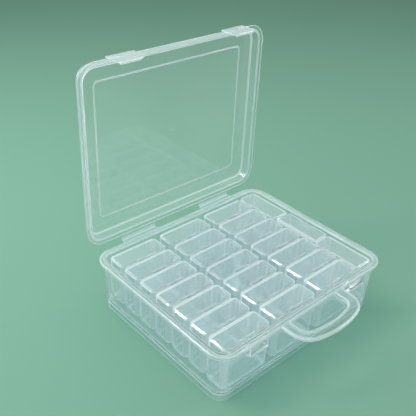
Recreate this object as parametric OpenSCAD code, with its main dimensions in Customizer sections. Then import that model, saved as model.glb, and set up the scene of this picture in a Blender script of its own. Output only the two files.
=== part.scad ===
// Clear hinged carrying case with 24 lidded mini boxes for beads and findings

/* [Case] */
// Outer width of the case over its rim, along the hinge
case_w = 224; // [180:1:270]
// Outer depth of the case over its rim, front to back
case_d = 186; // [152:1:226]
// Height of the rim over the table
rim_h = 58; // [48:1:70]
// Corner radius of the rim seen from above
corner_r = 18; // [12:0.5:22]
// Corner radius of the body below the rim
body_r = 11; // [8:0.5:14]
// How far the rim flange stands out from the body wall
flange_w = 5; // [4:0.1:6.5]
// Thickness of the rim flange
flange_t = 1.8; // [1.2:0.1:2.4]
// Height of the turned-down lip under the flange
lip_h = 4; // [3:0.1:6]
// Thickness of the turned-down lip
lip_t = 1.4; // [1:0.1:2]
// Thickness of the case walls
wall_t = 1.6; // [1.2:0.1:2.2]
// How far each wall leans in from the rim to the table
wall_draft = 1.5; // [0:0.1:2.4]
// Height of the underside of the raised floor
floor_z = 7; // [5:0.1:9]
// Thickness of the raised floor
floor_t = 1.6; // [1.2:0.1:2.4]

/* [Case lid] */
// Gap kept between the shut lid and the rim
lid_rest = 0.3; // [0.3:0.1:0.6]
// Corner radius of the lid wall
lid_r = 14; // [10:0.5:17]
// Depth of the lid from its rim to its flat top
lid_depth = 12; // [9:0.1:16]
// Width of the lid rim flange
lid_flange_w = 4; // [3:0.1:5.5]
// Thickness of the lid rim flange
lid_flange_t = 1.8; // [1.2:0.1:2.4]
// Thickness of the flat lid top
lid_plate_t = 1.6; // [1.2:0.1:2.4]
// How far each lid wall leans in towards the top
lid_draft = 1; // [0:0.1:2]
// Distance of the raised line from the lid edge
line_inset = 22; // [16:0.5:28]
// Width of the raised line
line_w = 1.6; // [1:0.1:3]
// Height of the raised line
line_h = 0.6; // [0.4:0.1:1.2]
// Corner radius of the raised line
line_r = 4; // [3:0.1:8]
// Diameter of the small mould mark in the middle of the lid
gate_d = 4; // [3:0.1:6]

/* [Hinge straps] */
// Distance from the rim edge to the bending line
hinge_off = 4.8; // [4:0.1:6]
// Distance of each strap's middle from the case's middle
strap_x = 52; // [40:0.5:60]
// Width of each strap
strap_w = 42; // [30:0.5:48]
// Thickness of the straps
strap_t = 1; // [0.8:0.1:1.4]
// Gap kept on each side of the bending line
strap_gap = 0.4; // [0.3:0.1:0.8]

/* [Latches] */
// Distance of each latch's middle from the case's middle
latch_x = 67.5; // [60:0.5:74]
// Width of each latch tongue
latch_w = 29; // [22:0.5:32]
// Thickness of the latch tongue
latch_t = 1.6; // [1.2:0.1:2.2]
// How far the tongue reaches below its hook
latch_tip = 2.6; // [2.3:0.1:4]
// Gap between the tongue and the rims
latch_gap = 0.4; // [0.4:0.1:1]
// Width of each catch on the front wall
catch_w = 22; // [16:0.5:26]
// Height of each catch block below the rim
catch_h = 10.5; // [8:0.1:13]
// Width of the window in each tongue
window_w = 12; // [8:0.5:16]

/* [Handle] */
// Outer width of the carrying handle
handle_w = 84; // [70:1:96]
// How far the handle stands out from the rim
handle_reach = 34; // [28:0.5:40]
// Width of the handle band
handle_band = 11; // [8:0.5:12]
// Outer corner radius of the handle
handle_r = 20; // [16:0.5:24]
// Radius of the bowed front of the handle
handle_bow = 102; // [80:1:160]
// Thickness of the top of the handle band
handle_t = 1.8; // [1.4:0.1:2.6]
// Height of the turned-down edges of the handle
handle_lip = 4.5; // [3:0.1:9]

/* [Mini boxes] */
// Gap between neighbouring mini boxes
box_gap = 0.6; // [0.5:0.1:1]
// Gap between the mini boxes and the case wall
edge_gap = 1.6; // [1.2:0.1:2.4]
// Gap between columns of mini boxes
col_gap = 5.9; // [1:0.1:8]
// Gap between the last column and the turned boxes
turn_gap = 1; // [0.6:0.1:5]
// Wall thickness of a mini box
box_wall = 1.1; // [0.9:0.1:1.6]
// How far a mini box wall leans in towards its bottom
box_draft = 0.6; // [0:0.1:1]
// Radius of the rounded bottom edges of a mini box
box_bottom_r = 4; // [2.5:0.1:5]
// Depth of a mini box top below the case rim
box_sink = 0.8; // [0.5:0.1:2]
// Radius of the upright corners of a mini box
box_r = 5; // [4:0.1:7]
// Gap kept between a mini box and the floor
box_rest = 0.4; // [0.3:0.1:0.8]
// Thickness of a mini box lid
box_lid_t = 1.2; // [0.9:0.1:1.6]
// Gap between a mini box and its lid
box_lid_gap = 0.4; // [0.4:0.1:0.6]
// Width of the snap tab on a mini box lid
tab_w = 16; // [12:0.5:20]
// How far the snap tab reaches below the top
tab_h = 4.5; // [3.5:0.1:5]
// Thickness of the snap tab
tab_t = 0.9; // [0.7:0.1:1.2]
// How far the snap tab sits behind the front face
tab_inset = 0.6; // [0.5:0.1:0.8]
// Gap round the snap tab
tab_gap = 0.4; // [0.3:0.1:0.6]

/* [Hidden] */
$fn = 64;
eps = 0.01;
// body of the case at the rim
body_w = case_w - 2 * flange_w;
body_d = case_d - 2 * flange_w;
floor_top = floor_z + floor_t;
// room inside the walls at floor height, where the leaning walls are nearest
lean = wall_draft * (rim_h - floor_top) / rim_h;
room_w = body_w - 2 * wall_t - 2 * lean;
room_d = body_d - 2 * wall_t - 2 * lean;
// mini boxes: seven rows, three columns, and three turned boxes at the right
rows = 7;
cols = 3;
turned = 3;
row_step = (room_d - 2 * edge_gap + box_gap) / rows;
box_w = row_step - box_gap;
turn_step = (room_d - 2 * edge_gap + box_gap) / turned;
turn_len = turn_step - box_gap;
cols_room = room_w - 2 * edge_gap - box_w - turn_gap;
col_len = min(turn_len, (cols_room - (cols - 1) * box_gap) / cols);
col_space = min(col_gap, (cols_room - cols * col_len) / (cols - 1));
col_step = col_len + col_space;
spare_w = cols_room - cols * col_len - (cols - 1) * col_space;
col_x0 = -room_w / 2 + edge_gap + spare_w + col_len / 2;
turn_x = room_w / 2 - edge_gap - box_w / 2;
row_y0 = room_d / 2 - edge_gap - box_w / 2;
turn_y0 = room_d / 2 - edge_gap - turn_len / 2;
box_z0 = floor_top + box_rest;
box_z1 = rim_h - box_sink;
box_h = box_z1 - box_z0;
box_top = box_h - box_lid_t - box_lid_gap;
// bending line of a mini lid: in from the back face, down from the top
pin_in = 1;
pin_down = 0.3;
lid_back = pin_in - 0.45;
recess_w = tab_w + 2 * tab_gap;
recess_in = tab_inset + tab_t + tab_gap;
recess_h = tab_h + 2 * tab_gap;
// case lid
hinge_y = case_d / 2 + hinge_off;
// the origin lies under the middle of the whole object's box, lid open
back_y = hinge_y + lid_rest + lid_depth + line_h;
front_y = -case_d / 2 - handle_reach;
shift_y = -(back_y + front_y) / 2;
clear_col = [0.80, 0.90, 0.88, 0.55];
box_col = [0.74, 0.88, 0.86, 0.55];

// puts a piece drawn about the middle of the case into the object's frame
module placed() {
    translate([0, shift_y, 0])
        children();
}

// ---- outlines ----

// rectangle with round corners, centred
module round_rect(w, d, r) {
    square([w - 2 * r, d], center = true);
    square([w, d - 2 * r], center = true);
    for (sx = [-1, 1])
        for (sy = [-1, 1])
            translate([sx * (w / 2 - r), sy * (d / 2 - r)])
                circle(r = r);
}

// flange from the outer edge of the case in to a wall's middle
module flange_ring(w, d, r) {
    difference() {
        round_rect(case_w, case_d, corner_r);
        round_rect(w - wall_t, d - wall_t, r - wall_t / 2);
    }
}

// ring between a round rectangle and the same one moved in by t
module round_ring(w, d, r, t) {
    difference() {
        round_rect(w, d, r);
        round_rect(w - 2 * t, d - 2 * t, max(r - t, 0.5));
    }
}

// straight extrusion of a trapezoid standing in the XZ plane, along Y
module trap_x(w0, w1, z0, z1, len) {
    translate([0, len / 2, 0])
        rotate([90, 0, 0])
            linear_extrude(height = len)
                polygon([[-w0 / 2, z0], [w0 / 2, z0], [w1 / 2, z1], [-w1 / 2, z1]]);
}

// the same along X
module trap_y(d0, d1, z0, z1, len) {
    rotate([0, 0, 90])
        trap_x(d0, d1, z0, z1, len);
}

// block with leaning walls and round upright corners from z0 (w0, d0) to z1 (w1, d1)
module lean_block(w0, d0, w1, d1, r, z0, z1) {
    wm = max(w0, w1);
    dm = max(d0, d1);
    intersection() {
        translate([0, 0, z0])
            linear_extrude(height = z1 - z0)
                round_rect(wm, dm, r);
        trap_x(w0, w1, z0, z1, dm + 2);
        trap_y(d0, d1, z0, z1, wm + 2);
    }
}

// ---- case base ----

// how far the walls have leaned in at height z
function lean_at(z) = wall_draft * (rim_h - z) / rim_h;

module case_shell() {
    difference() {
        lean_block(body_w - 2 * lean_at(0), body_d - 2 * lean_at(0), body_w, body_d,
            body_r, 0, rim_h);
        // the room above the floor
        lean_block(body_w - 2 * wall_t - 2 * lean_at(floor_top),
            body_d - 2 * wall_t - 2 * lean_at(floor_top),
            body_w - 2 * wall_t - 2 * lean_at(rim_h + 1),
            body_d - 2 * wall_t - 2 * lean_at(rim_h + 1),
            body_r - wall_t, floor_top, rim_h + 1);
        // the hollow under the floor
        lean_block(body_w - 2 * wall_t - 2 * lean_at(-1),
            body_d - 2 * wall_t - 2 * lean_at(-1),
            body_w - 2 * wall_t - 2 * lean_at(floor_z),
            body_d - 2 * wall_t - 2 * lean_at(floor_z),
            body_r - wall_t, -1, floor_z);
    }
}

module case_rim() {
    translate([0, 0, rim_h - flange_t])
        linear_extrude(height = flange_t)
            flange_ring(body_w, body_d, body_r);
    translate([0, 0, rim_h - lip_h])
        linear_extrude(height = lip_h)
            round_ring(case_w, case_d, corner_r, lip_t);
}

// handle outline: a flat loop with round corners and a bowed front, open to the rim
module handle_outline(in) {
    bow_y = -case_d / 2 - handle_reach + handle_bow;
    corner_x = handle_w / 2 - handle_r;
    corner_y = bow_y - sqrt(pow(handle_bow - handle_r, 2) - pow(corner_x, 2));
    meet_x = corner_x * (handle_bow - in) / (handle_bow - handle_r);
    back_y = -case_d / 2 + lip_t / 2;
    intersection() {
        translate([0, bow_y])
            circle(r = handle_bow - in, $fn = 256);
        translate([-meet_x, -case_d / 2 - 2 * handle_reach])
            square([2 * meet_x, 2 * handle_reach + lip_t / 2]);
    }
    for (s = [-1, 1])
        translate([s * corner_x, corner_y])
            circle(r = handle_r - in);
    translate([-handle_w / 2 + in, corner_y])
        square([handle_w - 2 * in, back_y - corner_y]);
}

module handle() {
    // flat top of the band
    translate([0, 0, rim_h - handle_t])
        linear_extrude(height = handle_t)
            difference() {
                handle_outline(0);
                handle_outline(handle_band);
            }
    // turned-down outer edge
    translate([0, 0, rim_h - handle_lip])
        linear_extrude(height = handle_lip)
            difference() {
                handle_outline(0);
                handle_outline(lip_t);
            }
    // turned-down inner edge
    translate([0, 0, rim_h - handle_lip])
        linear_extrude(height = handle_lip)
            difference() {
                handle_outline(handle_band - lip_t);
                handle_outline(handle_band);
            }
}

// one catch: a block under the rim with a sloped front and a flat hook face below
module catch_block(x) {
    y_in = -body_d / 2 + wall_t / 2;
    y_rim = -case_d / 2 + lip_t;
    y_tip = -case_d / 2;
    z_low = rim_h - lip_h - catch_h;
    translate([x - catch_w / 2, 0, 0])
        rotate([90, 0, 90])
            linear_extrude(height = catch_w)
                polygon([[y_in, z_low], [y_tip, z_low], [y_tip, z_low + 3],
                    [y_rim, rim_h - lip_h + 1], [y_in, rim_h - lip_h + 1]]);
}

module case_base() {
    color(clear_col)
        placed() {
            case_shell();
            case_rim();
            handle();
            catch_block(-latch_x);
            catch_block(latch_x);
        }
}

// ---- case lid: drawn shut over the rim plane, then swung up about the bending line ----

module swing_open() {
    translate([0, hinge_y + shift_y, rim_h])
        rotate([-90, 0, 0])
            translate([0, -hinge_y, lid_rest])
                children();
}

module lid_shut() {
    lw = case_w - 2 * lid_flange_w;
    ld = case_d - 2 * lid_flange_w;
    top_w = lw - 2 * lid_draft;
    top_d = ld - 2 * lid_draft;
    difference() {
        lean_block(lw, ld, top_w, top_d, lid_r, 0, lid_depth);
        lean_block(lw - 2 * wall_t + 2 * lid_draft / lid_depth,
            ld - 2 * wall_t + 2 * lid_draft / lid_depth,
            top_w - 2 * wall_t, top_d - 2 * wall_t,
            lid_r - wall_t, -1, lid_depth - lid_plate_t);
    }
    linear_extrude(height = lid_flange_t)
        flange_ring(lw, ld, lid_r);
    // raised line on the flat top
    translate([0, 0, lid_depth - eps])
        linear_extrude(height = line_h + eps)
            round_ring(case_w - 2 * line_inset, case_d - 2 * line_inset, line_r, line_w);
    translate([0, 0, lid_depth - eps])
        linear_extrude(height = line_h + eps)
            circle(d = gate_d);
}

module case_lid() {
    color(clear_col)
        swing_open()
            lid_shut();
}

// ---- hinge straps: half on the base, half on the lid ----

module strap_base(x) {
    y0 = case_d / 2 - lip_t / 2;
    translate([x - strap_w / 2, y0, rim_h - strap_t - 0.2])
        cube([strap_w, hinge_y - strap_gap - y0, strap_t]);
}

module strap_lid(x) {
    y0 = case_d / 2 - lip_t / 2;
    swing_open()
        translate([x - strap_w / 2, y0, 0])
            cube([strap_w, hinge_y - strap_gap - y0, strap_t]);
}

module strap_left_base() {
    color(clear_col)
        placed()
            strap_base(-strap_x);
}

module strap_right_base() {
    color(clear_col)
        placed()
            strap_base(strap_x);
}

module strap_left_lid() {
    color(clear_col)
        strap_lid(-strap_x);
}

module strap_right_lid() {
    color(clear_col)
        strap_lid(strap_x);
}

// ---- latches ----

// a tongue hanging from the lid flange, with a window and a hook along its free edge
module latch(x) {
    y_face = -case_d / 2 - latch_gap;
    hook_z = -lip_h - catch_h - latch_gap;
    z_low = hook_z - latch_tip;
    swing_open()
        translate([x, 0, 0])
            difference() {
                union() {
                    translate([-latch_w / 2, y_face - latch_t, z_low])
                        cube([latch_w, latch_t, lid_flange_t - z_low]);
                    // hook under the catch
                    translate([-catch_w / 2, 0, 0])
                        rotate([90, 0, 90])
                            linear_extrude(height = catch_w)
                                polygon([[y_face - eps, hook_z], [y_face + 1.8, hook_z],
                                    [y_face + 1.8, hook_z - 0.8],
                                    [y_face - eps, hook_z - 2.2]]);
                }
                translate([-window_w / 2, y_face - latch_t - 1, -8])
                    cube([window_w, latch_t + 2, 4.5]);
            }
}

module latch_left() {
    color(clear_col)
        latch(-latch_x);
}

module latch_right() {
    color(clear_col)
        latch(latch_x);
}

// ---- mini boxes: drawn with the long side along X, the tab at -Y, bottom at z = 0 ----

// U-shaped outline across a box, upright, leaning in and round at the bottom
module u_outline(w, h, draft, r) {
    w0 = w - 2 * draft;
    translate([-w0 / 2, r])
        square([w0, h - r]);
    translate([-w0 / 2 + r, 0])
        square([w0 - 2 * r, r + eps]);
    for (s = [-1, 1])
        translate([s * (w0 / 2 - r), r])
            circle(r = r);
    polygon([[-w0 / 2, r], [w0 / 2, r], [w / 2, h], [-w / 2, h]]);
}

// solid with the U outline seen from the end and from the side, and round upright corners
module u_block(len, w, h, draft, r, rc) {
    intersection() {
        linear_extrude(height = h)
            round_rect(len, w, rc);
        rotate([90, 0, 90])
            translate([0, 0, -len / 2 - 1])
                linear_extrude(height = len + 2)
                    u_outline(w, h, draft, r);
        rotate([90, 0, 0])
            translate([0, 0, -w / 2 - 1])
                linear_extrude(height = w + 2)
                    u_outline(len, h, draft, r);
    }
}

module box_shell(len) {
    difference() {
        union() {
            difference() {
                u_block(len, box_w, box_top, box_draft, box_bottom_r, box_r);
                translate([0, 0, box_wall])
                    u_block(len - 2 * box_wall, box_w - 2 * box_wall, box_top,
                        box_draft, box_bottom_r - box_wall, box_r - box_wall);
            }
            // wall behind the tab
            translate([-recess_w / 2 - box_wall, -box_w / 2 + box_draft,
                box_h - recess_h - box_wall])
                cube([recess_w + 2 * box_wall, recess_in + box_wall - box_draft,
                    box_top - box_h + recess_h + box_wall]);
        }
        translate([-recess_w / 2, -box_w / 2 - 1, box_h - recess_h])
            cube([recess_w, recess_in + 1, recess_h + 1]);
    }
}

module box_cover(len) {
    y0 = -box_w / 2;
    rib_in = box_wall + 0.8;
    translate([0, 0, box_h - box_lid_t])
        linear_extrude(height = box_lid_t)
            intersection() {
                round_rect(len, box_w, box_r);
                translate([-len / 2, y0])
                    square([len, box_w - lid_back]);
            }
    // snap tab
    translate([-tab_w / 2, y0 + tab_inset, box_h - tab_h])
        cube([tab_w, tab_t, tab_h - box_lid_t / 2]);
    // short locating ribs inside the two ends
    for (s = [-1, 1])
        translate([s * (len / 2 - rib_in - 0.4) - 0.4, y0 + box_r, box_h - box_lid_t - 2])
            cube([0.8, box_w - 2 * box_r, 2 + box_lid_t / 2]);
}

function col_x(c) = col_x0 + c * col_step;
function row_y(r) = row_y0 - r * row_step;
function turn_y(r) = turn_y0 - r * turn_step;

// a box or its lid in its place: c columns across, r rows forward
module in_row(c, r) {
    translate([col_x(c), row_y(r) + shift_y, box_z0])
        children();
}

// a turned box: a = -90 puts the tab to the left, 90 to the right
module in_turned(r, a) {
    translate([turn_x, turn_y(r) + shift_y, box_z0])
        rotate([0, 0, a])
            children();
}

module box_a1() {
    color(box_col)
        in_row(0, 0)
            box_shell(col_len);
}

module box_a1_lid() {
    color(box_col)
        in_row(0, 0)
            box_cover(col_len);
}

module box_a2() {
    color(box_col)
        in_row(0, 1)
            box_shell(col_len);
}

module box_a2_lid() {
    color(box_col)
        in_row(0, 1)
            box_cover(col_len);
}

module box_a3() {
    color(box_col)
        in_row(0, 2)
            box_shell(col_len);
}

module box_a3_lid() {
    color(box_col)
        in_row(0, 2)
            box_cover(col_len);
}

module box_a4() {
    color(box_col)
        in_row(0, 3)
            box_shell(col_len);
}

module box_a4_lid() {
    color(box_col)
        in_row(0, 3)
            box_cover(col_len);
}

module box_a5() {
    color(box_col)
        in_row(0, 4)
            box_shell(col_len);
}

module box_a5_lid() {
    color(box_col)
        in_row(0, 4)
            box_cover(col_len);
}

module box_a6() {
    color(box_col)
        in_row(0, 5)
            box_shell(col_len);
}

module box_a6_lid() {
    color(box_col)
        in_row(0, 5)
            box_cover(col_len);
}

module box_a7() {
    color(box_col)
        in_row(0, 6)
            box_shell(col_len);
}

module box_a7_lid() {
    color(box_col)
        in_row(0, 6)
            box_cover(col_len);
}

module box_b1() {
    color(box_col)
        in_row(1, 0)
            box_shell(col_len);
}

module box_b1_lid() {
    color(box_col)
        in_row(1, 0)
            box_cover(col_len);
}

module box_b2() {
    color(box_col)
        in_row(1, 1)
            box_shell(col_len);
}

module box_b2_lid() {
    color(box_col)
        in_row(1, 1)
            box_cover(col_len);
}

module box_b3() {
    color(box_col)
        in_row(1, 2)
            box_shell(col_len);
}

module box_b3_lid() {
    color(box_col)
        in_row(1, 2)
            box_cover(col_len);
}

module box_b4() {
    color(box_col)
        in_row(1, 3)
            box_shell(col_len);
}

module box_b4_lid() {
    color(box_col)
        in_row(1, 3)
            box_cover(col_len);
}

module box_b5() {
    color(box_col)
        in_row(1, 4)
            box_shell(col_len);
}

module box_b5_lid() {
    color(box_col)
        in_row(1, 4)
            box_cover(col_len);
}

module box_b6() {
    color(box_col)
        in_row(1, 5)
            box_shell(col_len);
}

module box_b6_lid() {
    color(box_col)
        in_row(1, 5)
            box_cover(col_len);
}

module box_b7() {
    color(box_col)
        in_row(1, 6)
            box_shell(col_len);
}

module box_b7_lid() {
    color(box_col)
        in_row(1, 6)
            box_cover(col_len);
}

module box_c1() {
    color(box_col)
        in_row(2, 0)
            box_shell(col_len);
}

module box_c1_lid() {
    color(box_col)
        in_row(2, 0)
            box_cover(col_len);
}

module box_c2() {
    color(box_col)
        in_row(2, 1)
            box_shell(col_len);
}

module box_c2_lid() {
    color(box_col)
        in_row(2, 1)
            box_cover(col_len);
}

module box_c3() {
    color(box_col)
        in_row(2, 2)
            box_shell(col_len);
}

module box_c3_lid() {
    color(box_col)
        in_row(2, 2)
            box_cover(col_len);
}

module box_c4() {
    color(box_col)
        in_row(2, 3)
            box_shell(col_len);
}

module box_c4_lid() {
    color(box_col)
        in_row(2, 3)
            box_cover(col_len);
}

module box_c5() {
    color(box_col)
        in_row(2, 4)
            box_shell(col_len);
}

module box_c5_lid() {
    color(box_col)
        in_row(2, 4)
            box_cover(col_len);
}

module box_c6() {
    color(box_col)
        in_row(2, 5)
            box_shell(col_len);
}

module box_c6_lid() {
    color(box_col)
        in_row(2, 5)
            box_cover(col_len);
}

module box_c7() {
    color(box_col)
        in_row(2, 6)
            box_shell(col_len);
}

module box_c7_lid() {
    color(box_col)
        in_row(2, 6)
            box_cover(col_len);
}

module box_d1() {
    color(box_col)
        in_turned(0, -90)
            box_shell(turn_len);
}

module box_d1_lid() {
    color(box_col)
        in_turned(0, -90)
            box_cover(turn_len);
}

module box_d2() {
    color(box_col)
        in_turned(1, 90)
            box_shell(turn_len);
}

module box_d2_lid() {
    color(box_col)
        in_turned(1, 90)
            box_cover(turn_len);
}

module box_d3() {
    color(box_col)
        in_turned(2, -90)
            box_shell(turn_len);
}

module box_d3_lid() {
    color(box_col)
        in_turned(2, -90)
            box_cover(turn_len);
}

case_base();
case_lid();
strap_left_base();
strap_right_base();
strap_left_lid();
strap_right_lid();
latch_left();
latch_right();
box_a1();
box_a1_lid();
box_a2();
box_a2_lid();
box_a3();
box_a3_lid();
box_a4();
box_a4_lid();
box_a5();
box_a5_lid();
box_a6();
box_a6_lid();
box_a7();
box_a7_lid();
box_b1();
box_b1_lid();
box_b2();
box_b2_lid();
box_b3();
box_b3_lid();
box_b4();
box_b4_lid();
box_b5();
box_b5_lid();
box_b6();
box_b6_lid();
box_b7();
box_b7_lid();
box_c1();
box_c1_lid();
box_c2();
box_c2_lid();
box_c3();
box_c3_lid();
box_c4();
box_c4_lid();
box_c5();
box_c5_lid();
box_c6();
box_c6_lid();
box_c7();
box_c7_lid();
box_d1();
box_d1_lid();
box_d2();
box_d2_lid();
box_d3();
box_d3_lid();
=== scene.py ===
import math

import bmesh
import bpy
from mathutils import Matrix, Vector


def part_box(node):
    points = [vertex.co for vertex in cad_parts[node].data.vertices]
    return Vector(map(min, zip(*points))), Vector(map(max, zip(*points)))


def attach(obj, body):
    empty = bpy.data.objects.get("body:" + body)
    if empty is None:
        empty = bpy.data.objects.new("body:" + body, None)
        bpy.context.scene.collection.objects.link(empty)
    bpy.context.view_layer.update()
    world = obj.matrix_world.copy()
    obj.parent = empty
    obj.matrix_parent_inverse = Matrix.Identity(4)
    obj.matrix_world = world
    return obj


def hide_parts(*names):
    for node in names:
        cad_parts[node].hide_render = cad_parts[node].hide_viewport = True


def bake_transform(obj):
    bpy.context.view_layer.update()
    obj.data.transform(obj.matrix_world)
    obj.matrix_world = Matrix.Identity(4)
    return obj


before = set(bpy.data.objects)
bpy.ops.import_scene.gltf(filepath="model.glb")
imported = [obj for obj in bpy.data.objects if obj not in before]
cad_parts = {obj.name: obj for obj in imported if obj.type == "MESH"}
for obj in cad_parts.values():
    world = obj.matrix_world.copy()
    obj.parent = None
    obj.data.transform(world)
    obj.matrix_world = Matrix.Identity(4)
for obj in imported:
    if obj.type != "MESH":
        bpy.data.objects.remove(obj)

scene = bpy.context.scene
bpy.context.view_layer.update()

# ======================================================================================
# Table top, lamps and camera
# The case stands open on a plain pale green sheet. A narrow soft lamp hangs over the back
# left corner, one stands at the right, and a third lights the front edges.
# ======================================================================================

TABLE_COLOUR = (0.13, 0.265, 0.198)
TABLE_HALF = 6.0


def put_on_scene(obj):
    scene.collection.objects.link(obj)
    return obj


def add_node(tree, kind, operation=None, **values):
    """A new node with its operation and plain socket values; _ stands for a space."""
    node = tree.nodes.new(kind)
    if operation:
        node.operation = operation
    for socket, value in values.items():
        node.inputs[socket.replace("_", " ")].default_value = value
    return node


def paper_material():
    mat = bpy.data.materials.new("pale_backdrop_sheet")
    mat.use_nodes = True
    nt = mat.node_tree
    body = nt.nodes["Principled BSDF"]
    coord = add_node(nt, "ShaderNodeTexCoord")
    grain = add_node(nt, "ShaderNodeTexNoise", Scale=3.0, Detail=2.0)
    tone = add_node(nt, "ShaderNodeMapRange", To_Min=0.985, To_Max=1.015)
    shade = add_node(nt, "ShaderNodeVectorMath", "SCALE")
    shade.inputs[0].default_value = TABLE_COLOUR
    nt.links.new(coord.outputs["Object"], grain.inputs["Vector"])
    nt.links.new(grain.outputs["Fac"], tone.inputs["Value"])
    nt.links.new(tone.outputs["Result"], shade.inputs["Scale"])
    nt.links.new(shade.outputs["Vector"], body.inputs["Base Color"])
    body.inputs["Roughness"].default_value = 0.9
    body.inputs["Specular IOR Level"].default_value = 0.1
    return mat


sheet = bpy.data.meshes.new("backdrop_sheet")
sheet.from_pydata([(x * TABLE_HALF, y * TABLE_HALF, 0)
                   for x, y in ((-1, -1), (1, -1), (1, 1), (-1, 1))], [], [(0, 1, 2, 3)])
sheet.materials.append(paper_material())
table = put_on_scene(bpy.data.objects.new("backdrop_sheet", sheet))

world = bpy.data.worlds.new("studio_air")
world.use_nodes = True
air = world.node_tree.nodes["Background"]
air.inputs["Color"].default_value = (0.90, 0.96, 0.93, 1)
air.inputs["Strength"].default_value = 0.55
scene.world = world


def soft_lamp(name, place, target, size, size_y, power, along=(1, 0, 0)):
    """A rectangular lamp aimed at a point, with its first side turned as asked."""
    data = bpy.data.lights.new(name, "AREA")
    data.shape = "RECTANGLE"
    data.size = size
    data.size_y = size_y
    data.energy = power
    lamp = put_on_scene(bpy.data.objects.new(name, data))
    behind = (Vector(place) - Vector(target)).normalized()
    side = Vector(along)
    side = (side - side.dot(behind) * behind).normalized()
    over = behind.cross(side)
    lamp.matrix_world = Matrix((
        (side.x, over.x, behind.x, place[0]), (side.y, over.y, behind.y, place[1]),
        (side.z, over.z, behind.z, place[2]), (0, 0, 0, 1)))


soft_lamp("strip_softbox", (-0.36, 0.545, 1.0), (0, 0, 0.05), 0.72, 0.17, 15.0,
          along=(0.9, -0.43, 0.0))
soft_lamp("right_softbox", (1.1, -0.35, 0.8), (0, 0, 0.05), 0.5, 0.9, 6.0,
          along=(0.35, 1.1, 0.0))
soft_lamp("front_softbox", (-0.9, -1.1, 1.1), (0, 0, 0.04), 0.7, 0.7, 9.0,
          along=(1.1, -0.9, 0.0))

CAMERA_AZIMUTH = math.radians(-43.389)
CAMERA_HEIGHT_ANGLE = math.radians(32.039)
CAMERA_ROLL = math.radians(2.768)
CAMERA_TARGET = Vector((0.07261, 0.13542, 0.02500))
CAMERA_DISTANCE = 0.76659
CAMERA_LENS = 55.031

camera_data = bpy.data.cameras.new("camera")
camera_data.sensor_width = 36.0
camera_data.lens = CAMERA_LENS
camera_data.clip_start = 0.01
camera_data.clip_end = 30.0
camera = put_on_scene(bpy.data.objects.new("camera", camera_data))
back = Vector((math.sin(CAMERA_AZIMUTH) * math.cos(CAMERA_HEIGHT_ANGLE),
               -math.cos(CAMERA_AZIMUTH) * math.cos(CAMERA_HEIGHT_ANGLE),
               math.sin(CAMERA_HEIGHT_ANGLE)))
right = (-back).cross(Vector((0, 0, 1))).normalized()
up = right.cross(-back)
turned_right = math.cos(CAMERA_ROLL) * right + math.sin(CAMERA_ROLL) * up
turned_up = -math.sin(CAMERA_ROLL) * right + math.cos(CAMERA_ROLL) * up
stand = CAMERA_TARGET + back * CAMERA_DISTANCE
camera.matrix_world = Matrix((
    (turned_right.x, turned_up.x, back.x, stand.x),
    (turned_right.y, turned_up.y, back.y, stand.y),
    (turned_right.z, turned_up.z, back.z, stand.z),
    (0, 0, 0, 1)))
scene.camera = camera
scene.view_settings.view_transform = "Standard"
scene.cycles.max_bounces = 48
scene.cycles.transparent_max_bounces = 96
scene.cycles.transmission_bounces = 48
scene.cycles.glossy_bounces = 8
scene.cycles.diffuse_bounces = 4

# ======================================================================================
# Case base
# A deep tray moulded in clear, slightly milky polypropylene: straight walls with a little
# draft, a floor raised on a skirt, a rim flange with a turned-down lip, two catches and
# the carrying handle at rim level, all in one moulding about 1.6 mm thick.
# ======================================================================================

MM = 0.001
CASE_W = 224.0
CASE_D = 186.0
RIM_H = 58.0
FLANGE_T = 1.8
LIP_H = 4.0
FLOOR_Z = 7.0
FLOOR_TOP = 8.6
SHIFT_Y = 8.15  # the case stands this far behind the middle of the whole object


def ring_points(w, d, r, z, steps=9):
    """Points round a rectangle with round corners, counter-clockwise, in millimetres."""
    points = []
    for cx, cy, start in ((1, 1, 0), (-1, 1, 90), (-1, -1, 180), (1, -1, 270)):
        for i in range(steps + 1):
            a = math.radians(start + 90 * i / steps)
            points.append((cx * (w / 2 - r) + r * math.cos(a),
                           cy * (d / 2 - r) + r * math.sin(a), z))
    return points


def soft_path(corners, steps=4):
    """Rounds each corner of a wall section. A corner is (inset, height, ring radius,
    rounding) with, if wanted, a further inset of the long sides only."""
    path = []
    corners = [tuple(c) + (0.0,) * (5 - len(c)) for c in corners]
    for i, (s, z, r, f, e) in enumerate(corners):
        here = Vector((s, z, r, e))
        if f <= 0 or i in (0, len(corners) - 1):
            path.append(here)
            continue
        ends = []
        for other in (corners[i - 1], corners[i + 1]):
            there = Vector((other[0], other[1], other[2], other[4]))
            ends.append((there, (there - here).to_2d()))
        turn = ends[0][1].angle(ends[1][1])
        reach = f / max(math.tan(turn / 2), 0.05)
        reach = min([reach] + [0.48 * way.length for _, way in ends])
        p0, p2 = (here.lerp(there, reach / way.length) for there, way in ends)
        for k in range(steps + 1):
            u = k / steps
            path.append((1 - u) ** 2 * p0 + 2 * u * (1 - u) * here + u * u * p2)
    return path


def loft(rings):
    """Skins rings of points, given in millimetres, and closes both ends."""
    bm = bmesh.new()
    rings = [[bm.verts.new(Vector(p) * MM) for p in ring] for ring in rings]
    for one, two in zip(rings, rings[1:]):
        for i in range(len(one)):
            j = (i + 1) % len(one)
            bm.faces.new((one[i], one[j], two[j], two[i]))
    bm.faces.new(rings[0][::-1])
    bm.faces.new(rings[-1])
    bmesh.ops.recalc_face_normals(bm, faces=bm.faces)
    return bm


def round_edges(bm, edges, width):
    bmesh.ops.bevel(bm, geom=edges, offset=width * MM, segments=2, profile=0.5,
                    affect="EDGES")


def as_solid(bm, name):
    mesh = bpy.data.meshes.new(name)
    bm.to_mesh(mesh)
    bm.free()
    return put_on_scene(bpy.data.objects.new(name, mesh))


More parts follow.
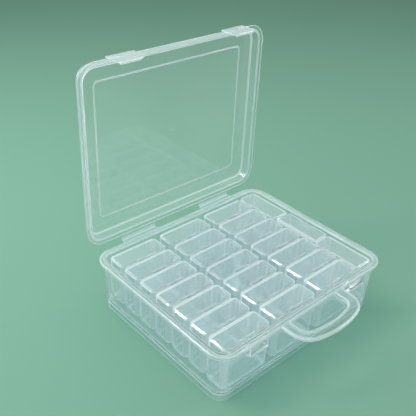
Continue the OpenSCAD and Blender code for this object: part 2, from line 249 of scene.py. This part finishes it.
def moulding(name, w, d, corners, steps=9, path_steps=4):
    """A closed shell: a wall section carried round a rectangle with round corners."""
    return as_solid(loft([ring_points(w - 2 * s, d - 2 * s - 2 * e, max(r, 0.3), z, steps)
                          for s, z, r, e in soft_path(corners, path_steps)]), name)


def apply_modifiers(obj):
    """Turns the object with its modifiers into a plain mesh."""
    bpy.context.view_layer.update()
    shape = obj.evaluated_get(bpy.context.evaluated_depsgraph_get())
    mesh = bpy.data.meshes.new_from_object(shape)
    obj.modifiers.clear()
    old = obj.data
    obj.data = mesh
    mesh.name = obj.name
    bpy.data.meshes.remove(old)


def finish_mesh(obj, frosted=None):
    """Smooth rounded edges, with the flat faces kept flat by weighting the normals.
    Narrow faces on a bend are marked: there the plastic looks thicker and whiter."""
    mesh = obj.data
    bm = bmesh.new()
    bm.from_mesh(mesh)
    edge = bm.faces.layers.float.get("edge") or bm.faces.layers.float.new("edge")
    for face in bm.faces:
        face.smooth = True
        longest = max(e.calc_length() for e in face.edges)
        width = face.calc_area() / max(longest, 1e-6) / MM
        bend = max(e.calc_face_angle(0.0) for e in face.edges
                   if e.calc_length() > 0.5 * longest)
        narrow = min(1.0, max(0.0, (2.2 - width) / 1.4))
        face[edge] = narrow if bend > math.radians(4.0) else 0.0
        if frosted and frosted(face.calc_center_median() / MM, face.normal):
            face[edge] = 1.0
    bm.to_mesh(mesh)
    bm.free()
    mesh.set_sharp_from_angle(angle=math.radians(35.0))
    mod = obj.modifiers.new("flat_faces", "WEIGHTED_NORMAL")
    mod.keep_sharp = True
    mod.weight = 90
    apply_modifiers(obj)


def cut_or_join(obj, other, how):
    """Joins another solid to this one, or cuts it away, and drops the other."""
    mod = obj.modifiers.new("solid", "BOOLEAN")
    mod.operation = how
    mod.solver = "EXACT"
    mod.object = other
    apply_modifiers(obj)
    bpy.data.objects.remove(other)


def rounded_block(name, x0, x1, y0, y1, z0, z1, rounding):
    """A block, in millimetres, with rounded edges if wanted."""
    bm = bmesh.new()
    bmesh.ops.create_cube(bm, size=1.0)
    for v in bm.verts:
        v.co = Vector(((x0 + x1) / 2 + v.co.x * (x1 - x0),
                       (y0 + y1) / 2 + v.co.y * (y1 - y0),
                       (z0 + z1) / 2 + v.co.z * (z1 - z0))) * MM
    if rounding > 0:
        round_edges(bm, bm.edges[:], rounding)
    return as_solid(bm, name)


base_section = [
    (46.0, FLOOR_TOP, 2.0, 0),
    (7.9, FLOOR_TOP, 9.4, 3.0),
    (6.6, RIM_H, 9.4, 0.6),
    (0.0, RIM_H, 18.0, 0.9),
    (0.25, RIM_H - LIP_H, 17.7, 0.5),
    (1.4, RIM_H - LIP_H, 16.6, 0.4),
    (1.4, RIM_H - FLANGE_T, 16.6, 0.5),
    (5.05, RIM_H - FLANGE_T, 11.0, 0.9),
    (6.5, 0.0, 11.0, 0.6),
    (8.1, 0.0, 9.4, 0.5),
    (7.9, FLOOR_Z, 9.4, 1.5),
    (46.0, FLOOR_Z, 2.0, 0),
]
base = moulding("case_base_moulding", CASE_W, CASE_D, base_section)

HANDLE_W = 84.0
HANDLE_REACH = 34.0
HANDLE_BAND = 11.0
HANDLE_R = 20.0
HANDLE_BOW = 102.0
HANDLE_LIP = 4.4
HANDLE_INNER_LIP = 3.0


def handle_loop():
    """The carrying handle: a shallow channel swept round a loop with a bowed front."""
    b = HANDLE_BAND / 2
    bow_y = -CASE_D / 2 - HANDLE_REACH + HANDLE_BOW
    corner_x = HANDLE_W / 2 - HANDLE_R
    corner_y = bow_y - math.sqrt((HANDLE_BOW - HANDLE_R) ** 2 - corner_x ** 2)
    meet = math.degrees(math.atan2(bow_y - corner_y, corner_x))
    half = HANDLE_W / 2 - b
    path = [((-half, -CASE_D / 2 + 0.7), (-1, 0)), ((-half, -CASE_D / 2 - 4.0), (-1, 0))]
    for i in range(13):
        a = math.radians(180 + meet * i / 12)
        n = (math.cos(a), math.sin(a))
        path.append(((-corner_x + (HANDLE_R - b) * n[0],
                      corner_y + (HANDLE_R - b) * n[1]), n))
    for i in range(1, 10):
        a = math.radians(180 + meet + (90 - meet) * i / 9)
        n = (math.cos(a), math.sin(a))
        path.append((((HANDLE_BOW - b) * n[0], bow_y + (HANDLE_BOW - b) * n[1]), n))
    path += [((-p[0], p[1]), (-n[0], n[1])) for p, n in path[-2::-1]]
    top = RIM_H
    outer, inner, skin = top - HANDLE_INNER_LIP, top - HANDLE_LIP, top - FLANGE_T
    section = [(b, outer, 0.4), (b, top, 2.2), (-b, top, 1.0), (-b, inner, 0.4),
               (-b + 1.4, inner, 0.4), (-b + 1.4, skin, 0.5), (b - 1.6, skin, 0.8),
               (b - 1.4, outer, 0.3)]
    outline = []
    for i, (u, z, f) in enumerate(section):
        here = Vector((u, z))
        before = Vector(section[i - 1][:2]) - here
        after = Vector(section[(i + 1) % len(section)][:2]) - here
        one = here + before.normalized() * min(f, 0.48 * before.length)
        two = here + after.normalized() * min(f, 0.48 * after.length)
        for k in range(4):
            u = k / 3
            outline.append((1 - u) ** 2 * one + 2 * u * (1 - u) * here + u * u * two)
    return as_solid(loft([[(p[0] + n[0] * q.x, p[1] + n[1] * q.x, q.y) for q in outline]
                          for p, n in path]), "handle")


CATCH_W = 22.0
CATCH_H = 10.5
LATCH_X = 67.5


def bar_across(x, width, side):
    """A bar of the given side view, running across x by its width."""
    return loft([[(x + end * width / 2, y, z) for y, z in side] for end in (-1, 1)])


def catch_wedge(x):
    """A catch under the rim: sloped in front, flat below, so that a hook snaps under it."""
    y_in = -CASE_D / 2 + 5.8
    y_tip = -CASE_D / 2
    z_low = RIM_H - LIP_H - CATCH_H
    side = [(y_in, z_low), (y_tip + 0.1, z_low), (y_tip + 0.1, z_low + 3),
            (y_tip + 1.4, RIM_H - 3.0), (y_in, RIM_H - 3.0)]
    bm = bar_across(x, CATCH_W, side)
    round_edges(bm, bm.edges[:], 0.5)
    return as_solid(bm, "catch")


cut_or_join(base, handle_loop(), "UNION")
cut_or_join(base, catch_wedge(-LATCH_X), "UNION")
cut_or_join(base, catch_wedge(LATCH_X), "UNION")
base.data.transform(Matrix.Translation((0, SHIFT_Y * MM, 0)))
finish_mesh(base)


def moulding_marks():
    """Tint, flow lines and faint rubbing of moulded polypropylene."""
    group = bpy.data.node_groups.new("moulding_marks", "ShaderNodeTree")
    face = group.interface
    face.new_socket("Place", in_out="INPUT", socket_type="NodeSocketVector")
    for name, kind, value in (("Tint", "NodeSocketColor", (0.90, 0.96, 0.98, 1)),
                              ("Tint far", "NodeSocketColor", (0.80, 0.91, 0.94, 1)),
                              ("Rough low", "NodeSocketFloat", 0.02),
                              ("Rough high", "NodeSocketFloat", 0.08),
                              ("Flow scale", "NodeSocketFloat", 90.0)):
        socket = face.new_socket(name, in_out="INPUT", socket_type=kind)
        socket.default_value = value
    for name, kind in (("Colour", "NodeSocketColor"), ("Roughness", "NodeSocketFloat"),
                       ("Height", "NodeSocketFloat")):
        face.new_socket(name, in_out="OUTPUT", socket_type=kind)
    nodes, links = group.nodes, group.links
    entry = nodes.new("NodeGroupInput")
    leave = nodes.new("NodeGroupOutput")
    cloud = add_node(group, "ShaderNodeTexNoise", Scale=30.0, Detail=3.0)
    shade = add_node(group, "ShaderNodeMix")
    shade.data_type = "RGBA"
    flow = add_node(group, "ShaderNodeTexNoise", Detail=3.0, Distortion=0.8)
    rough = add_node(group, "ShaderNodeMapRange", From_Min=0.35, From_Max=0.75)
    links.new(entry.outputs["Place"], cloud.inputs["Vector"])
    links.new(cloud.outputs["Fac"], shade.inputs["Factor"])
    links.new(entry.outputs["Tint"], shade.inputs["A"])
    links.new(entry.outputs["Tint far"], shade.inputs["B"])
    links.new(entry.outputs["Place"], flow.inputs["Vector"])
    links.new(entry.outputs["Flow scale"], flow.inputs["Scale"])
    links.new(flow.outputs["Fac"], rough.inputs["Value"])
    links.new(entry.outputs["Rough low"], rough.inputs["To Min"])
    links.new(entry.outputs["Rough high"], rough.inputs["To Max"])
    links.new(shade.outputs["Result"], leave.inputs["Colour"])
    links.new(rough.outputs["Result"], leave.inputs["Roughness"])
    links.new(flow.outputs["Fac"], leave.inputs["Height"])
    return group


MARKS = moulding_marks()


def clear_plastic(name, haze, edge_haze, steep_haze, rough, cloud):
    """Clear polypropylene: it refracts like glass under a thin milkiness. The milk
    scatters light back and onward, is stronger at edges and on slanting views, and
    light passing on to what is behind is weakened a little at each face."""
    mat = bpy.data.materials.new(name)
    mat.use_nodes = True
    nt = mat.node_tree
    link = nt.links.new
    milk = nt.nodes["Principled BSDF"]
    out = nt.nodes["Material Output"]
    coord = add_node(nt, "ShaderNodeTexCoord")
    marks = add_node(nt, "ShaderNodeGroup")
    marks.node_tree = MARKS
    marks.inputs["Rough low"].default_value = rough[0]
    marks.inputs["Rough high"].default_value = rough[1]
    link(coord.outputs["Object"], marks.inputs["Place"])
    bump = add_node(nt, "ShaderNodeBump", Strength=0.10, Distance=0.0002)
    link(marks.outputs["Height"], bump.inputs["Height"])
    link(marks.outputs["Colour"], milk.inputs["Base Color"])
    milk.inputs["Roughness"].default_value = 0.35
    milk.inputs["Specular IOR Level"].default_value = 0.3
    link(bump.outputs["Normal"], milk.inputs["Normal"])
    onward = add_node(nt, "ShaderNodeBsdfTranslucent", Color=(0.88, 0.95, 0.98, 1))
    milky = add_node(nt, "ShaderNodeMixShader", Fac=0.45)
    link(milk.outputs[0], milky.inputs[1])
    link(onward.outputs[0], milky.inputs[2])
    clear = add_node(nt, "ShaderNodeBsdfPrincipled", Base_Color=(0.985, 0.996, 0.998, 1),
                     Transmission_Weight=1.0, IOR=1.49)
    link(marks.outputs["Roughness"], clear.inputs["Roughness"])
    link(bump.outputs["Normal"], clear.inputs["Normal"])
    # milkiness: cloudy over the walls, more at edges, more on slanting views
    cloudy = add_node(nt, "ShaderNodeTexNoise", Scale=cloud, Detail=2.0)
    link(coord.outputs["Object"], cloudy.inputs["Vector"])
    walls = add_node(nt, "ShaderNodeMapRange", From_Min=0.3, From_Max=0.7,
                     To_Min=haze[0], To_Max=haze[1])
    link(cloudy.outputs["Fac"], walls.inputs["Value"])
    mark = add_node(nt, "ShaderNodeAttribute")
    mark.attribute_name = "edge"
    edges = add_node(nt, "ShaderNodeMath", "MULTIPLY_ADD")
    edges.inputs[1].default_value = edge_haze
    link(mark.outputs["Fac"], edges.inputs[0])
    link(walls.outputs["Result"], edges.inputs[2])
    facing = add_node(nt, "ShaderNodeLayerWeight", Blend=0.5)
    steep = add_node(nt, "ShaderNodeMath", "POWER")
    steep.inputs[1].default_value = 3.5
    link(facing.outputs["Facing"], steep.inputs[0])
    amount = add_node(nt, "ShaderNodeMath", "MULTIPLY_ADD")
    amount.use_clamp = True
    amount.inputs[1].default_value = steep_haze
    link(steep.outputs[0], amount.inputs[0])
    link(edges.outputs[0], amount.inputs[2])
    film = add_node(nt, "ShaderNodeMixShader")
    link(amount.outputs[0], film.inputs["Fac"])
    link(clear.outputs[0], film.inputs[1])
    link(milky.outputs[0], film.inputs[2])
    # shadows and bounced light go straight through, so the table stays lit
    ray = add_node(nt, "ShaderNodeLightPath")
    onto = add_node(nt, "ShaderNodeMath", "MAXIMUM")
    link(ray.outputs["Is Shadow Ray"], onto.inputs[0])
    link(ray.outputs["Is Diffuse Ray"], onto.inputs[1])
    passing = add_node(nt, "ShaderNodeBsdfTransparent", Color=(0.905, 0.938, 0.948, 1))
    done = add_node(nt, "ShaderNodeMixShader")
    link(onto.outputs[0], done.inputs["Fac"])
    link(film.outputs[0], done.inputs[1])
    link(passing.outputs[0], done.inputs[2])
    link(done.outputs[0], out.inputs["Surface"])
    return mat


CASE_PLASTIC = clear_plastic("clear_case_plastic", (0.035, 0.06), 0.34, 0.30,
                             (0.02, 0.07), 22.0)


def dress(obj, mat):
    obj.data.materials.clear()
    obj.data.materials.append(mat)


dress(base, CASE_PLASTIC)
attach(base, "base")
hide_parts("case_base")

# ======================================================================================
# Case lid
# A shallow lid of the same clear plastic, standing open behind the base. Its rim has a
# narrow flange, and a thin raised line runs as a rectangle round its flat top, which has
# the small mark of the mould's feed point in the middle.
# ======================================================================================

HINGE_OFF = 4.8
HINGE_Y = CASE_D / 2 + HINGE_OFF
LID_REST = 0.3
LID_DEPTH = 12.0
LID_T = 1.6

lid_section = [
    (46.0, LID_DEPTH - LID_T, 2.0, 0),
    (6.6, LID_DEPTH - LID_T, 11.8, 1.6),
    (5.6, 0.0, 12.4, 0.5),
    (0.0, 0.0, 18.0, 0.5),
    (0.0, 1.8, 18.0, 0.8),
    (4.0, 1.8, 14.0, 0.8),
    (5.0, LID_DEPTH, 13.0, 2.4),
    (22.0, LID_DEPTH, 5.0, 0.3),
    (22.3, LID_DEPTH + 0.6, 4.5, 0.5),
    (23.3, LID_DEPTH + 0.6, 3.8, 0.5),
    (23.6, LID_DEPTH, 3.5, 0.3),
    (46.0, LID_DEPTH, 2.0, 0),
]
lid = moulding("case_lid_moulding", CASE_W, CASE_D, lid_section, path_steps=5)

bm = bmesh.new()
bmesh.ops.create_cone(bm, cap_ends=True, segments=32, radius1=2.0 * MM, radius2=1.6 * MM,
                      depth=1.0 * MM)
bmesh.ops.translate(bm, verts=bm.verts, vec=(0, 0, (LID_DEPTH + 0.05) * MM))
cut_or_join(lid, as_solid(bm, "feed_mark"), "UNION")

# closed over the rim plane, the lid is swung up about the bending line of the straps
OPEN_LID = (Matrix.Translation((0, (HINGE_Y + SHIFT_Y) * MM, RIM_H * MM))
            @ Matrix.Rotation(math.radians(-90), 4, "X")
            @ Matrix.Translation((0, -HINGE_Y * MM, LID_REST * MM)))
lid.data.transform(OPEN_LID)
finish_mesh(lid)
dress(lid, CASE_PLASTIC)
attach(lid, "lid")
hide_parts("case_lid")

# ======================================================================================
# Hinge straps
# Two flat straps of the same moulding join the lid to the back of the rim. Each is thinned
# along its middle, where the plastic bends as the lid swings.
# ======================================================================================

STRAP_W = 42.0
STRAP_X = 52.0
STRAP_STEPS = 24


def bending_strap(side, x):
    """A strap from the rim round the bending line to the lid, thinner in the middle."""
    start = Vector((CASE_D / 2 - 0.6, RIM_H - 0.7))
    bend = Vector((HINGE_Y + 0.5, RIM_H - 0.5))
    end = Vector((HINGE_Y + LID_REST + 0.5, RIM_H + HINGE_OFF + 0.6))
    bend_from = bend + Vector((-2.2, -0.15))
    bend_to = bend + Vector((0.25, 2.4))
    line = []
    for i in range(STRAP_STEPS + 1):
        t = i / STRAP_STEPS
        if t < 0.3:
            p = start.lerp(bend_from, t / 0.3)
        elif t > 0.7:
            p = bend_to.lerp(end, (t - 0.7) / 0.3)
        else:
            u = (t - 0.3) / 0.4
            p = (1 - u) ** 2 * bend_from + 2 * u * (1 - u) * bend + u * u * bend_to
        line.append((p, t))
    rings = []
    for i, (p, t) in enumerate(line):
        ahead = line[min(i + 1, STRAP_STEPS)][0] - line[max(i - 1, 0)][0]
        n = Vector((-ahead.y, ahead.x)).normalized()
        thick = 0.5 - 0.22 * math.exp(-((t - 0.5) / 0.12) ** 2)
        half = STRAP_W / 2 + (0.9 if t < 0.08 or t > 0.92 else 0.0)
        ring = []
        for sx, sn in ((-1, -1), (-1, 1), (1, 1), (1, -1)):
            q = p + n * (sn * thick)
            ring.append((x + sx * half, q.x, q.y))
        rings.append(ring)
    bm = loft(rings)
    bmesh.ops.translate(bm, verts=bm.verts, vec=(0, SHIFT_Y * MM, 0))
    strap = as_solid(bm, f"hinge_strap_{side}")
    finish_mesh(strap)
    dress(strap, CASE_PLASTIC)
    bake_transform(strap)
    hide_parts(f"strap_{side}_base", f"strap_{side}_lid")


bending_strap("left", -STRAP_X)
bending_strap("right", STRAP_X)

# ======================================================================================
# Latches
# Two springy tongues stand on the lid's front edge. Each has a window and a hook that
# snaps under a catch of the base; they are moulded in one with the lid.
# ======================================================================================

LATCH_W = 29.0
LATCH_T = 1.6
LATCH_GAP = 0.4
LATCH_TIP = 2.6
LATCH_R = 4.5
WINDOW_W = 12.0
WINDOW_TOP = -3.5
WINDOW_LOW = -8.0


def latch_tongue(side, x):
    """A tongue with its hook and window, first drawn as it hangs on the shut case."""
    y_face = -CASE_D / 2 - LATCH_GAP
    hook_z = -LIP_H - CATCH_H - LATCH_GAP
    z_low = hook_z - LATCH_TIP
    outline = [(x - LATCH_W / 2, FLANGE_T), (x + LATCH_W / 2, FLANGE_T)]
    for sx, start in ((1, 0), (-1, -90)):
        for i in range(9):
            a = math.radians(start - 90 * i / 8)
            outline.append((x + sx * (LATCH_W / 2 - LATCH_R) + LATCH_R * math.cos(a),
                            z_low + LATCH_R + LATCH_R * math.sin(a)))
    bm = loft([[(u, y, v) for u, v in outline] for y in (y_face - LATCH_T, y_face)])
    round_edges(bm, [e for e in bm.edges if len(e.link_faces) == 2
                     and e.calc_face_angle() > math.radians(60)], 0.45)
    tongue = as_solid(bm, "tongue")
    bm = bar_across(x, CATCH_W, [(y_face - 0.6, hook_z), (y_face + 1.8, hook_z),
                                 (y_face + 1.8, hook_z - 0.8),
                                 (y_face - 0.6, hook_z - 2.4)])
    round_edges(bm, bm.edges[:], 0.25)
    cut_or_join(tongue, as_solid(bm, "hook"), "UNION")
    window = rounded_block("window", x - WINDOW_W / 2, x + WINDOW_W / 2,
                           y_face - LATCH_T - 1, y_face + 1, WINDOW_LOW, WINDOW_TOP, 0.0)
    cut_or_join(tongue, window, "DIFFERENCE")
    tongue.name = f"latch_tongue_{side}"
    tongue.data.transform(OPEN_LID)
    finish_mesh(tongue)
    dress(tongue, CASE_PLASTIC)
    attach(tongue, f"latch_{side}")
    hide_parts(f"latch_{side}")


latch_tongue("left", -LATCH_X)
latch_tongue("right", LATCH_X)

# ======================================================================================
# Mini boxes
# Twenty-four thin-walled boxes of clear plastic, rounded below, each with a thicker place
# in front where the lid's tab snaps in. They all come from one mould, so one shape is
# made and then set in its place in the case.
# ======================================================================================

BOX_W = 23.3493
BOX_L = 55.2816
BOX_Z0 = FLOOR_TOP + 0.4
BOX_H = RIM_H - 0.8 - BOX_Z0
BOX_TOP = BOX_H - 1.6
BOX_WALL = 1.1

box_section = [
    (9.5, 0.0, 0.8, 0),
    (0.6, 0.0, 4.6, 4.0),
    (0.0, BOX_TOP, 5.0, 0.35),
    (BOX_WALL, BOX_TOP, 3.9, 0.35),
    (1.7, BOX_WALL, 3.6, 3.0),
    (9.5, BOX_WALL, 0.8, 0),
]
box_shape = moulding("mini_box_shape", BOX_L, BOX_W, box_section, steps=6, path_steps=5)
RECESS_IN = 1.9
RECESS_LOW = BOX_H - 5.3
cut_or_join(box_shape,
            rounded_block("tab_seat", -9.5, 9.5, -BOX_W / 2 + 0.8, -BOX_W / 2 + 3.0,
                          RECESS_LOW - BOX_WALL, BOX_TOP, 0.0), "UNION")
cut_or_join(box_shape,
            rounded_block("tab_recess", -8.4, 8.4, -BOX_W / 2 - 1, -BOX_W / 2 + RECESS_IN,
                          RECESS_LOW, BOX_TOP + 1, 0.0), "DIFFERENCE")
finish_mesh(box_shape)

BOX_PLASTIC = clear_plastic("clear_box_plastic", (0.06, 0.105), 0.38, 0.40,
                            (0.02, 0.08), 45.0)


def placing_tree():
    """Sets one moulded shape in its place in the case and gives it its plastic."""
    tree = bpy.data.node_groups.new("set_in_case", "GeometryNodeTree")
    face = tree.interface
    face.new_socket("Geometry", in_out="OUTPUT", socket_type="NodeSocketGeometry")
    for name, kind in (("Moulded shape", "NodeSocketObject"), ("Place", "NodeSocketVector"),
                       ("Quarter turns", "NodeSocketFloat"),
                       ("Plastic", "NodeSocketMaterial")):
        face.new_socket(name, in_out="INPUT", socket_type=kind)
    nodes, links = tree.nodes, tree.links
    entry = nodes.new("NodeGroupInput")
    leave = nodes.new("NodeGroupOutput")
    shape = nodes.new("GeometryNodeObjectInfo")
    quarter = add_node(tree, "ShaderNodeMath", "MULTIPLY")
    quarter.inputs[1].default_value = math.pi / 2
    turn = nodes.new("ShaderNodeCombineXYZ")
    move = nodes.new("GeometryNodeTransform")
    real = nodes.new("GeometryNodeRealizeInstances")
    paint = nodes.new("GeometryNodeSetMaterial")
    links.new(entry.outputs["Moulded shape"], shape.inputs["Object"])
    links.new(entry.outputs["Quarter turns"], quarter.inputs[0])
    links.new(quarter.outputs[0], turn.inputs["Z"])
    links.new(shape.outputs["Geometry"], move.inputs["Geometry"])
    links.new(entry.outputs["Place"], move.inputs["Translation"])
    links.new(turn.outputs[0], move.inputs["Rotation"])
    links.new(move.outputs["Geometry"], real.inputs["Geometry"])
    links.new(real.outputs["Geometry"], paint.inputs["Geometry"])
    links.new(entry.outputs["Plastic"], paint.inputs["Material"])
    links.new(paint.outputs["Geometry"], leave.inputs["Geometry"])
    return tree


SET_IN_CASE = placing_tree()
SOCKETS = {item.name: item.identifier for item in SET_IN_CASE.interface.items_tree
           if item.in_out == "INPUT"}


def set_in_case(name, shape, place, quarter_turns, plastic):
    """One finished piece from a moulded shape, as a plain mesh at its place."""
    carrier = put_on_scene(bpy.data.objects.new(name, bpy.data.meshes.new(name)))
    mod = carrier.modifiers.new("place", "NODES")
    mod.node_group = SET_IN_CASE
    mod[SOCKETS["Moulded shape"]] = shape
    mod[SOCKETS["Place"]] = place
    mod[SOCKETS["Quarter turns"]] = float(quarter_turns)
    mod[SOCKETS["Plastic"]] = plastic
    apply_modifiers(carrier)
    return carrier


def box_places():
    """Name, middle of the box seen from above, and quarter turns, for every box."""
    names = [(f"box_{column}{row}", 0) for column in "abc" for row in range(1, 8)]
    names += [(f"box_d{row}", turns) for row, turns in ((1, -1), (2, 1), (3, -1))]
    places = []
    for name, turns in names:
        low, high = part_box(name)
        places.append((name, ((low[0] + high[0]) / 2, (low[1] + high[1]) / 2,
                              BOX_Z0 * MM), turns))
    return places


BOX_PLACES = box_places()
for name, place, turns in BOX_PLACES:
    piece = set_in_case(f"mini_{name}", box_shape, place, turns, BOX_PLASTIC)
    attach(piece, name)
    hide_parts(name)
bpy.data.objects.remove(box_shape)

# ======================================================================================
# Mini box lids
# Each box has a flat clear lid with a raised panel, a frosted strip along the back, a snap
# tab in front and two short ribs that keep it in line. All come from one mould. It turns
# on a thin web at the back of the box.
# ======================================================================================

lid_panel = [
    (8.5, BOX_H - 1.2, 1.0, 0),
    (0.25, BOX_H - 1.2, 4.75, 0.1),
    (0.0, BOX_H - 1.02, 5.0, 0.12),
    (1.75, BOX_H, 1.0, 0.3, 0.75),
    (8.5, BOX_H, 1.0, 0, 0.0),
]
cover_shape = moulding("mini_lid_shape", BOX_L, BOX_W - 0.55, lid_panel, steps=6)
LID_BACK = BOX_W / 2 - 0.55
# the flat window lies forward, so that a hinge strip is left along the back
for v in cover_shape.data.vertices:
    rise = min(1.0, max(0.0, (v.co.z / MM - BOX_H + 0.9) / 0.9))
    v.co.y -= (0.275 + 1.75 * rise) * MM
cut_or_join(cover_shape,
            rounded_block("tab", -8, 8, -BOX_W / 2 + 0.6, -BOX_W / 2 + 1.5,
                          BOX_H - 4.5, BOX_H - 0.5, 0.3), "UNION")
for end in (-1, 1):
    x = end * (BOX_L / 2 - 2.3)
    cut_or_join(cover_shape,
                rounded_block("rib", x - 0.4, x + 0.4, -BOX_W / 2 + 5, BOX_W / 2 - 5,
                              BOX_H - 3.2, BOX_H - 0.7, 0.2), "UNION")
    x = end * 7.2
    cut_or_join(cover_shape,
                rounded_block("tab_dot", x - 0.7, x + 0.7, -BOX_W / 2 + 0.15,
                              -BOX_W / 2 + 0.8, BOX_H - 3.4, BOX_H - 2.2, 0.25), "UNION")
finish_mesh(cover_shape,
            frosted=lambda at, n: n.z > 0.5 and at.y > LID_BACK - 4.4 and at.z > BOX_H - 0.9)

for name, place, turns in BOX_PLACES:
    piece = set_in_case(f"mini_{name}_lid", cover_shape, place, turns, BOX_PLASTIC)
    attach(piece, f"{name}_lid")
    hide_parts(f"{name}_lid")
bpy.data.objects.remove(cover_shape)
